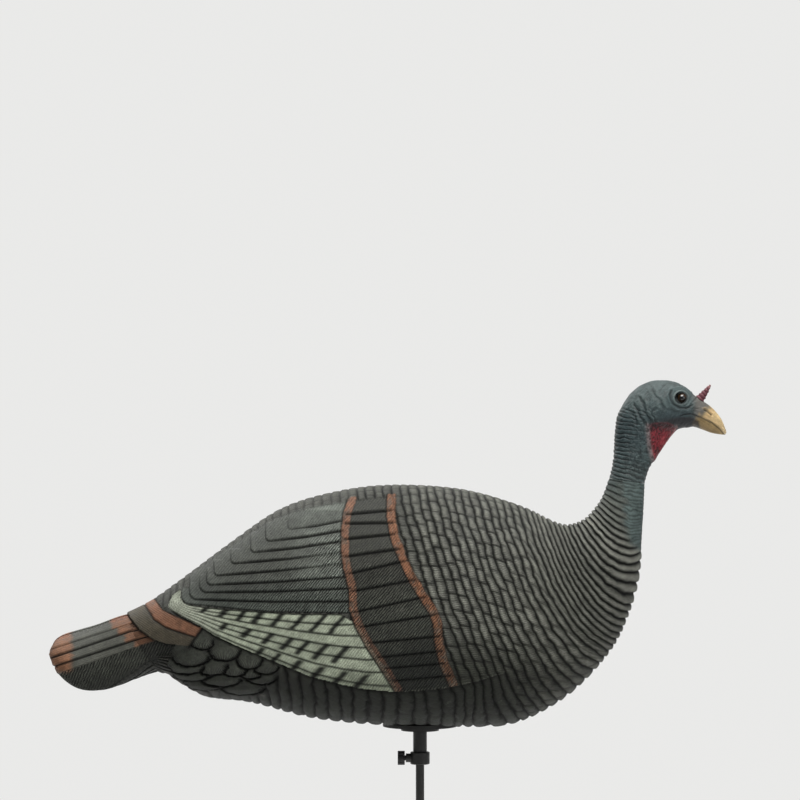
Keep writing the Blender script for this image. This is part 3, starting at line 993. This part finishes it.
d = dist(A, B, [(647.5, 425), (647.8, 434), (648.6, 444), (651, 455), (653.5, 463)])
hh += 0.8 * np.exp(-(d / 1.7) ** 2)
ph.coat((128, 112, 112), np.exp(-(d / 2.0) ** 2) * 0.75)
d2 = dist(A, B, [(678, 425), (668, 441), (656, 460)])
ph.coat((150, 100, 98), np.exp(-(d2 / 1.3) ** 2) * 0.6 * (dw < 3))
# rim
hh = hh * smooth(0.0, 0.12, T)
ph.shade(1 + 0.16 * fbm(A / 7, B / 7, 90))
ph.shade(1 + 0.25 * np.clip(hh, 0, 1) * (1 - beak))
ph.coat((14, 19, 21), np.clip(ch, 0, 1) * 0.84 * (1 - beak * 0.2))
DH = PH_ + NH * hh.reshape(PH_.shape[:2] + (1,))
DH[:, 0, 1] = DH[:, -1, 1] = 0
DH[0] += NECK_N * 0.4
tip = DH[-1].copy()
tipc = tip.mean(0)
tipc[1] = 0
tipc += np.array([1.2, 0, -0.6])
cap_rows = np.stack([lerp(tip, tipc[None], w) + np.array([0.9 * w, 0, 0]) * (1 - w) for w in (0.35, 0.75, 0.999)])
cap_rows[:, 0, 1] = cap_rows[:, -1, 1] = 0
before = lip(DH[0], 2.6, 3.0, NECK_N)[::-1]
GH = np.concatenate([before, DH, cap_rows])
first, last = np.arange(KH), np.arange((len(th) - 1) * KH, len(th) * KH)
idx = np.concatenate([np.tile(first, 2), np.arange(len(th) * KH), np.tile(last, 3)])
head_objs = []
for side_name, mirror in (("right", True), ("left", False)):
    o = mesh_from_grid(f"head_{side_name}", GH, {"Col": np.clip(ph.c, 0.001, 1)[idx], "beak": beak[idx], "wattle": kw[idx], "cav": np.clip(ch, 0, 1)[idx]}, mirror=mirror)
    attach(o, "head")
    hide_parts("head_shell")
    head_objs.append(o)

# ------------------------------------------------------------------ snood
nr, nc = ((110, 48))
base = np.array([315.0, 0, 367.9])
axis = np.array([13.6, 0, 15.8])
axis /= np.linalg.norm(axis)
e1 = np.array([axis[2], 0, -axis[0]])
e2 = np.array([0, 1.0, 0])
L = 23.5
s = np.linspace(0, 1, nr)
ang = np.linspace(0, 2 * math.pi, nc + 1)
rows = []
for k in s:
    rr = (4.9 * (1 - k) ** 0.85 + 0.9) * (1 if k < 0.97 else math.sqrt(max(0.0, 1 - ((k - 0.97) / 0.03) ** 2)) + 0.01)
    ring = 0.50 * math.sin(k * L / 3.9 * 2 * math.pi + 0.8) * (1 - k) ** 0.5
    bend = e1 * (1.5 * k * k) * -1
    cen = base - axis * 2.0 + axis * (L + 0.5) * k + bend
    rk = rr + ring + 0.12 * np.sin(ang * 5 + k * 22)
    rk[-1] = rk[0]
    rows.append(cen + np.outer(np.cos(ang) * rk, e1) + np.outer(np.sin(ang) * rk * 0.86, e2))
GS = np.array(rows)
kk = np.repeat(s, nc + 1)
sp = Paint(len(kk), (112, 66, 74))
sp.coat((150, 108, 108), smooth(0.66, 1.0, kk))
sp.coat((72, 18, 30), smooth(0.1, 0.9, -np.sin(kk * L / 3.9 * 2 * math.pi + 0.8)) * 0.85 * (1 - smooth(0.85, 0.95, kk)))
sp.coat((92, 88, 86), 1 - smooth(0.06, 0.2, kk))
snood = mesh_from_grid("snood_soft", GS, {"Col": sp.c, "cav": np.zeros(len(kk))})
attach(snood, "head")
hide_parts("snood")


# ------------------------------------------------------------------ materials
def new_mat(name):
    m = bpy.data.materials.new(name)
    m.use_nodes = True
    nt = m.node_tree
    nt.nodes.clear()
    out_ = nt.nodes.new("ShaderNodeOutputMaterial")
    bs_ = nt.nodes.new("ShaderNodeBsdfPrincipled")
    nt.links.new(bs_.outputs[0], out_.inputs[0])
    return m, nt, bs_


def node(nt, kind, **kw_):
    x = nt.nodes.new(kind)
    for k, v in kw_.items():
        setattr(x, k, v)
    return x


def noise(nt, coord, scale, detail=4.0, rough=0.55):
    x = node(nt, "ShaderNodeTexNoise")
    x.inputs["Scale"].default_value = scale
    x.inputs["Detail"].default_value = detail
    x.inputs["Roughness"].default_value = rough
    nt.links.new(coord, x.inputs["Vector"])
    return x.outputs[0]


def math_(nt, op, a_, b_=None, clamp=False):
    x = node(nt, "ShaderNodeMath", operation=op, use_clamp=clamp)
    for i, v in enumerate((a_, b_)):
        if v is None:
            continue
        if isinstance(v, (int, float)):
            x.inputs[i].default_value = v
        else:
            nt.links.new(v, x.inputs[i])
    return x.outputs[0]


def ramp(nt, fac, lo, hi, c0=0.0, c1=1.0):
    x = node(nt, "ShaderNodeMapRange")
    x.inputs["From Min"].default_value = lo
    x.inputs["From Max"].default_value = hi
    x.inputs["To Min"].default_value = c0
    x.inputs["To Max"].default_value = c1
    nt.links.new(fac, x.inputs["Value"])
    return x.outputs[0]


def mix_col(nt, mode, fac, a_, b_):
    x = node(nt, "ShaderNodeMix", data_type="RGBA", blend_type=mode)
    for sock, v in ((x.inputs[0], fac), (x.inputs[6], a_), (x.inputs[7], b_)):
        if isinstance(v, (int, float)):
            sock.default_value = v
        elif isinstance(v, tuple):
            sock.default_value = v + (1.0,) if len(v) == 3 else v
        else:
            nt.links.new(v, sock)
    return x.outputs[2]


def attr(nt, name):
    x = node(nt, "ShaderNodeAttribute", attribute_name=name)
    return x


def bump(nt, height, strength, distance, prev=None):
    x = node(nt, "ShaderNodeBump")
    x.inputs["Strength"].default_value = strength
    x.inputs["Distance"].default_value = distance
    nt.links.new(height, x.inputs["Height"])
    if prev is not None:
        nt.links.new(prev, x.inputs["Normal"])
    return x.outputs[0]


def scale_col(nt, colour, fac):
    x = node(nt, "ShaderNodeVectorMath", operation="SCALE")
    nt.links.new(colour, x.inputs[0])
    nt.links.new(fac, x.inputs["Scale"])
    return x.outputs[0]


def feather_mat():
    m, nt, bs_ = new_mat("feather_paint")
    co = node(nt, "ShaderNodeTexCoord").outputs["Object"]
    c_ = attr(nt, "Col").outputs["Color"]
    bp, bst, cv = attr(nt, "barb").outputs["Fac"], attr(nt, "bstr").outputs["Fac"], attr(nt, "cav").outputs["Fac"]
    grain = noise(nt, co, 900, 3, 0.6)
    mott = noise(nt, co, 120, 4, 0.6)
    broad = noise(nt, co, 14, 3, 0.5)
    wob = math_(nt, "MULTIPLY", ramp(nt, noise(nt, co, 260, 2), 0, 1, -1, 1), 0.55)
    bst = math_(nt, "MULTIPLY", bst, ramp(nt, noise(nt, co, 170, 3, 0.6), 0.35, 0.62, 0.45, 1.15))
    wave = math_(nt, "SINE", math_(nt, "MULTIPLY", math_(nt, "ADD", bp, wob), 2 * math.pi))
    line = math_(nt, "MULTIPLY", ramp(nt, wave, 0.0, -0.9, 0, 1), bst, clamp=True)
    lite = math_(nt, "MULTIPLY", ramp(nt, wave, 0.2, 0.95, 0, 1), bst, clamp=True)
    k = math_(nt, "SUBTRACT", 1.0, math_(nt, "MULTIPLY", line, 0.84))
    k = math_(nt, "MULTIPLY", k, math_(nt, "ADD", 1.0, math_(nt, "MULTIPLY", lite, 0.75)))
    k = math_(nt, "MULTIPLY", k, ramp(nt, mott, 0.3, 0.7, 0.70, 1.30))
    k = math_(nt, "MULTIPLY", k, ramp(nt, grain, 0.3, 0.7, 0.74, 1.28))
    k = math_(nt, "MULTIPLY", k, ramp(nt, broad, 0.3, 0.7, 0.92, 1.08))
    colour = scale_col(nt, c_, k)
    # rubbed high spots show paler plastic
    rub = math_(nt, "MULTIPLY", ramp(nt, noise(nt, co, 75, 5, 0.7), 0.62, 0.70, 0, 1), ramp(nt, cv, 0.2, 0.0, 0, 0.20), clamp=True)
    colour = mix_col(nt, "MIX", rub, colour, (0.17, 0.165, 0.14))
    nt.links.new(colour, bs_.inputs["Base Color"])
    ro = math_(nt, "ADD", ramp(nt, mott, 0.3, 0.7, 0.60, 0.76), math_(nt, "MULTIPLY", cv, 0.18), clamp=True)
    nt.links.new(ro, bs_.inputs["Roughness"])
    bs_.inputs["Specular IOR Level"].default_value = 0.32
    hgt = math_(nt, "MULTIPLY", math_(nt, "MULTIPLY", wave, bst), 0.5)
    b1 = bump(nt, hgt, 1.0, 0.0008)
    b2 = bump(nt, grain, 0.45, 0.0004, b1)
    b3 = bump(nt, mott, 0.45, 0.0009, b2)
    nt.links.new(b3, bs_.inputs["Normal"])
    return m


def skin_mat():
    m, nt, bs_ = new_mat("head_paint")
    co = node(nt, "ShaderNodeTexCoord").outputs["Object"]
    c_ = attr(nt, "Col").outputs["Color"]
    bk, wt_, cv = attr(nt, "beak").outputs["Fac"], attr(nt, "wattle").outputs["Fac"], attr(nt, "cav").outputs["Fac"]
    grain = noise(nt, co, 1300, 3, 0.6)
    mott = noise(nt, co, 190, 4, 0.6)
    vor = node(nt, "ShaderNodeTexVoronoi")
    vor.inputs["Scale"].default_value = 620
    nt.links.new(co, vor.inputs["Vector"])
    cells = ramp(nt, vor.outputs["Distance"], 0.0, 0.7, 1, 0)
    k = math_(nt, "MULTIPLY", ramp(nt, mott, 0.3, 0.7, 0.82, 1.20), ramp(nt, grain, 0.3, 0.7, 0.90, 1.10))
    k = math_(nt, "MULTIPLY", k, ramp(nt, cells, 0.0, 1.0, 0.90, 1.08))
    colour = scale_col(nt, c_, k)
    nt.links.new(colour, bs_.inputs["Base Color"])
    ro = math_(nt, "ADD", ramp(nt, mott, 0.3, 0.7, 0.50, 0.66), math_(nt, "MULTIPLY", bk, -0.14))
    ro = math_(nt, "ADD", ro, math_(nt, "MULTIPLY", wt_, -0.08), clamp=True)
    nt.links.new(ro, bs_.inputs["Roughness"])
    bs_.inputs["Specular IOR Level"].default_value = 0.4
    fade = math_(nt, "SUBTRACT", 1.0, math_(nt, "MULTIPLY", bk, 0.8))
    b1 = bump(nt, math_(nt, "MULTIPLY", cells, fade), 0.40, 0.0005)
    b2 = bump(nt, math_(nt, "MULTIPLY", mott, fade), 0.35, 0.0008, b1)
    b3 = bump(nt, grain, 0.25, 0.0002, b2)
    nt.links.new(b3, bs_.inputs["Normal"])
    return m


def plain_mat(name, rgb, rough, metal=0.0, spec=0.4, speck=(0.8, 1.2), scale=300, bump_s=0.2, wear=None, coat=0.0, brushed=False):
    m, nt, bs_ = new_mat(name)
    co = node(nt, "ShaderNodeTexCoord").outputs["Object"]
    vec = co
    if brushed:
        mp = node(nt, "ShaderNodeMapping")
        mp.inputs["Scale"].default_value = (1, 1, 14)
        nt.links.new(co, mp.inputs["Vector"])
        vec = mp.outputs[0]
    n1 = noise(nt, vec, scale, 5, 0.6)
    n2 = noise(nt, co, 40, 4, 0.6)
    k = math_(nt, "MULTIPLY", ramp(nt, n1, 0.3, 0.7, *speck), ramp(nt, n2, 0.3, 0.7, 0.85, 1.15))
    base_ = node(nt, "ShaderNodeRGB")
    base_.outputs[0].default_value = tuple(lin(rgb)) + (1,)
    colour = scale_col(nt, base_.outputs[0], k)
    ro = ramp(nt, n1, 0.3, 0.7, rough - 0.09, rough + 0.09)
    if wear:
        wrgb, lo, hi = wear
        wn = ramp(nt, noise(nt, co, 55, 7, 0.75), lo, hi, 0, 1)
        x = node(nt, "ShaderNodeClamp")
        nt.links.new(wn, x.inputs[0])
        colour = mix_col(nt, "MIX", x.outputs[0], colour, tuple(lin(wrgb)))
        nt.links.new(x.outputs[0], bs_.inputs["Metallic"])
    else:
        bs_.inputs["Metallic"].default_value = metal
    nt.links.new(colour, bs_.inputs["Base Color"])
    nt.links.new(ro, bs_.inputs["Roughness"])
    bs_.inputs["Specular IOR Level"].default_value = spec
    bs_.inputs["Coat Weight"].default_value = coat
    nt.links.new(bump(nt, n1, bump_s, 0.0004), bs_.inputs["Normal"])
    return m


def eye_mat():
    m, nt, bs_ = new_mat("eye_glass")
    co = node(nt, "ShaderNodeTexCoord").outputs["Object"]
    geo = node(nt, "ShaderNodeNewGeometry")
    sep = node(nt, "ShaderNodeSeparateXYZ")
    nt.links.new(co, sep.inputs[0])
    # distance from the eye's axis, in the object's own x and z
    dx = math_(nt, "SUBTRACT", sep.outputs[0], 0.2949)
    dz = math_(nt, "SUBTRACT", sep.outputs[2], 0.3706 + BELLY / 1000)
    r_ = math_(nt, "SQRT", math_(nt, "ADD", math_(nt, "MULTIPLY", dx, dx), math_(nt, "MULTIPLY", dz, dz)))
    iris = ramp(nt, r_, 0.0030, 0.0036, 0, 1)
    rimk = ramp(nt, r_, 0.0050, 0.0060, 0, 1)
    streak = noise(nt, co, 900, 3)
    brown = mix_col(nt, "MIX", streak, (0.030, 0.016, 0.008), (0.075, 0.040, 0.018))
    cl = node(nt, "ShaderNodeClamp")
    nt.links.new(iris, cl.inputs[0])
    cl2 = node(nt, "ShaderNodeClamp")
    nt.links.new(rimk, cl2.inputs[0])
    c1 = mix_col(nt, "MIX", cl.outputs[0], (0.003, 0.003, 0.003), brown)
    c2 = mix_col(nt, "MIX", cl2.outputs[0], c1, (0.006, 0.006, 0.006))
    nt.links.new(c2, bs_.inputs["Base Color"])
    nt.links.new(ramp(nt, streak, 0.3, 0.7, 0.05, 0.11), bs_.inputs["Roughness"])
    bs_.inputs["Specular IOR Level"].default_value = 0.6
    bs_.inputs["Coat Weight"].default_value = 1.0
    bs_.inputs["Coat Roughness"].default_value = 0.03
    return m


feather = feather_mat()
skin = skin_mat()
for o in pieces_body:
    o.data.materials.append(feather)
for o in head_objs + [snood]:
    o.data.materials.append(skin)

steel = plain_mat("stake_coat", (44, 44, 42), 0.45, spec=0.5, speck=(0.75, 1.25), scale=420, bump_s=0.25, wear=((128, 124, 118), 0.655, 0.70))
collar_m = plain_mat("collar_coat", (40, 40, 39), 0.40, spec=0.5, speck=(0.8, 1.2), scale=500, bump_s=0.3, wear=((120, 118, 112), 0.69, 0.73))
zinc = plain_mat("zinc_plate", (150, 150, 146), 0.38, metal=1.0, speck=(0.75, 1.1), scale=160, bump_s=0.12, brushed=True)
spring = plain_mat("spring_steel", (110, 110, 112), 0.32, metal=1.0, speck=(0.8, 1.1), scale=240, bump_s=0.1, brushed=True)
plate_m = plain_mat("plate_plastic", (38, 38, 36), 0.52, spec=0.4, speck=(0.85, 1.15), scale=900, bump_s=0.25)
nylon_m = plain_mat("nylon", (196, 190, 174), 0.48, spec=0.45, speck=(0.93, 1.05), scale=500, bump_s=0.1)
knob_m = plain_mat("knob_plastic", (34, 34, 35), 0.50, spec=0.45, speck=(0.8, 1.2), scale=1100, bump_s=0.4)
rubber_m = plain_mat("ring_rubber", (28, 28, 28), 0.7, spec=0.3, speck=(0.8, 1.2), scale=900, bump_s=0.2)
eye_m = eye_mat()
BY_SLOT = {"stake_steel": steel, "collar_paint": collar_m, "zinc": zinc, "spring_steel": spring, "plate_plastic": plate_m, "nylon": nylon_m,
           "knob_plastic": knob_m, "o_rubber": rubber_m, "eye_glass": eye_m}
for sp_ in frame["record"]["subparts"]:
    o = frame["nodes"][sp_["node"]]
    if sp_["material_slot"] in BY_SLOT and not o.hide_render:
        if not o.material_slots:
            o.data.materials.append(BY_SLOT[sp_["material_slot"]])
        for ms in o.material_slots:
            ms.material = BY_SLOT[sp_["material_slot"]]

# ------------------------------------------------------------------ stage
FLOOR = float(cad_low[2]) - 0.0005
fm, fnt, fb = new_mat("stage_floor")
fco = node(fnt, "ShaderNodeTexCoord").outputs["Object"]
fn = noise(fnt, fco, 3.0, 3)
fnt.links.new(mix_col(fnt, "MIX", fn, (0.78, 0.78, 0.77), (0.84, 0.84, 0.83)), fb.inputs["Base Color"])
fb.inputs["Roughness"].default_value = 0.9
# the stage shows only its inner side, so that it never hides the object from a camera behind or below it
fgeo, flight = node(fnt, "ShaderNodeNewGeometry"), node(fnt, "ShaderNodeLightPath")
fclear, fboth = node(fnt, "ShaderNodeBsdfTransparent"), node(fnt, "ShaderNodeMixShader")
fnt.links.new(math_(fnt, "MULTIPLY", fgeo.outputs["Backfacing"], flight.outputs["Is Camera Ray"]), fboth.inputs[0])
# away from the object the stage fades to one pale tone for the camera, which lights nothing
ffar, fpale, fmix = node(fnt, "ShaderNodeMapRange"), node(fnt, "ShaderNodeEmission"), node(fnt, "ShaderNodeMixShader")
flen = node(fnt, "ShaderNodeVectorMath", operation="LENGTH")
fnt.links.new(fgeo.outputs["Position"], flen.inputs[0])
fnt.links.new(flen.outputs["Value"], ffar.inputs["Value"])
ffar.interpolation_type = "SMOOTHSTEP"
ffar.inputs["From Min"].default_value, ffar.inputs["From Max"].default_value = 0.6, 2.1
fpale.inputs["Color"].default_value = (0.82, 0.82, 0.81, 1)
fnt.links.new(math_(fnt, "MULTIPLY", ffar.outputs["Result"], flight.outputs["Is Camera Ray"]), fmix.inputs[0])
fnt.links.new(fb.outputs[0], fmix.inputs[1])
fnt.links.new(fpale.outputs[0], fmix.inputs[2])
fnt.links.new(fmix.outputs[0], fboth.inputs[1])
fnt.links.new(fclear.outputs[0], fboth.inputs[2])
fnt.links.new(fboth.outputs[0], next(n_ for n_ in fnt.nodes if n_.type == "OUTPUT_MATERIAL").inputs["Surface"])
half, depth = 4.0, 3.0
prof = [(-6.0, FLOOR), (depth, FLOOR)]
for k in range(1, 13):
    a_ = k / 12 * math.pi / 2
    prof.append((depth + 1.2 * math.sin(a_), FLOOR + 1.2 * (1 - math.cos(a_))))
prof.append((depth + 1.2, FLOOR + 6.0))
verts = [(x, y, z) for y, z in prof for x in (-half * 2, half * 2)]
faces = [(2 * i, 2 * i + 1, 2 * i + 3, 2 * i + 2) for i in range(len(prof) - 1)]
me = bpy.data.meshes.new("stage_floor")
me.from_pydata(verts, [], faces)
me.polygons.foreach_set("use_smooth", [True] * len(faces))
me.materials.append(fm)
floor = bpy.data.objects.new("stage_floor", me)
bpy.context.scene.collection.objects.link(floor)

world = bpy.data.worlds.new("studio")
bpy.context.scene.world = world
world.use_nodes = True
wnt = world.node_tree
wnt.nodes["Background"].inputs[0].default_value = (0.92, 0.95, 1.0, 1)
wnt.nodes["Background"].inputs[1].default_value = 0.15
# where a camera looks past the backdrop it sees the same pale tone, without the light of it
wpale = node(wnt, "ShaderNodeBackground")
wpale.inputs[0].default_value = (0.82, 0.82, 0.81, 1)
wpale.inputs[1].default_value = 1.0
wboth = node(wnt, "ShaderNodeMixShader")
wnt.links.new(node(wnt, "ShaderNodeLightPath").outputs["Is Camera Ray"], wboth.inputs[0])
wnt.links.new(wnt.nodes["Background"].outputs[0], wboth.inputs[1])
wnt.links.new(wpale.outputs[0], wboth.inputs[2])
wnt.links.new(wboth.outputs[0], next(n_ for n_ in wnt.nodes if n_.type == "OUTPUT_WORLD").inputs["Surface"])


def area(name, loc, target, size, power, colour=(1, 1, 1)):
    ld = bpy.data.lights.new(name, "AREA")
    ld.shape = "RECTANGLE"
    ld.size, ld.size_y = size
    ld.energy = power
    ld.color = colour
    o = bpy.data.objects.new(name, ld)
    o.location = loc
    o.rotation_mode = "QUATERNION"
    o.rotation_quaternion = (Vector(target) - Vector(loc)).to_track_quat("-Z", "Y")
    bpy.context.scene.collection.objects.link(o)
    return o


area("key_top", (0.25, -0.95, 1.85), (0.0, 0.0, 0.4), (1.3, 0.9), 27, (1.0, 0.98, 0.95))
area("fill_front", (1.6, -1.6, 0.9), (0.1, 0.0, 0.4), (1.2, 1.2), 5, (0.95, 0.97, 1.0))
area("backdrop", (0.0, 0.6, 2.6), (0.0, 3.9, 0.2), (4.0, 1.0), 125, (1.0, 1.0, 1.0))
area("rim_back", (-0.9, 1.3, 1.5), (0.0, 0.0, 0.45), (1.2, 0.8), 9, (1.0, 1.0, 1.0))

cam_d = bpy.data.cameras.new("camera")
cam = bpy.data.objects.new("camera", cam_d)
bpy.context.scene.collection.objects.link(cam)
bpy.context.scene.camera = cam
cam_d.sensor_width = 36.0
cam_d.lens = LENS
dist_cam = CAMERA_AT / 1000
cx = (400 - 420) * U / 1000
cz = (726 - 400) * U / 1000 + BELLY / 1000
cam.location = (cx, -dist_cam, cz)
cam.rotation_mode = "QUATERNION"
cam.rotation_quaternion = Vector((0, 1, 0)).to_track_quat("-Z", "Y")
cam_d.clip_start, cam_d.clip_end = 0.05, 50

bpy.context.scene.view_settings.view_transform = "Standard"
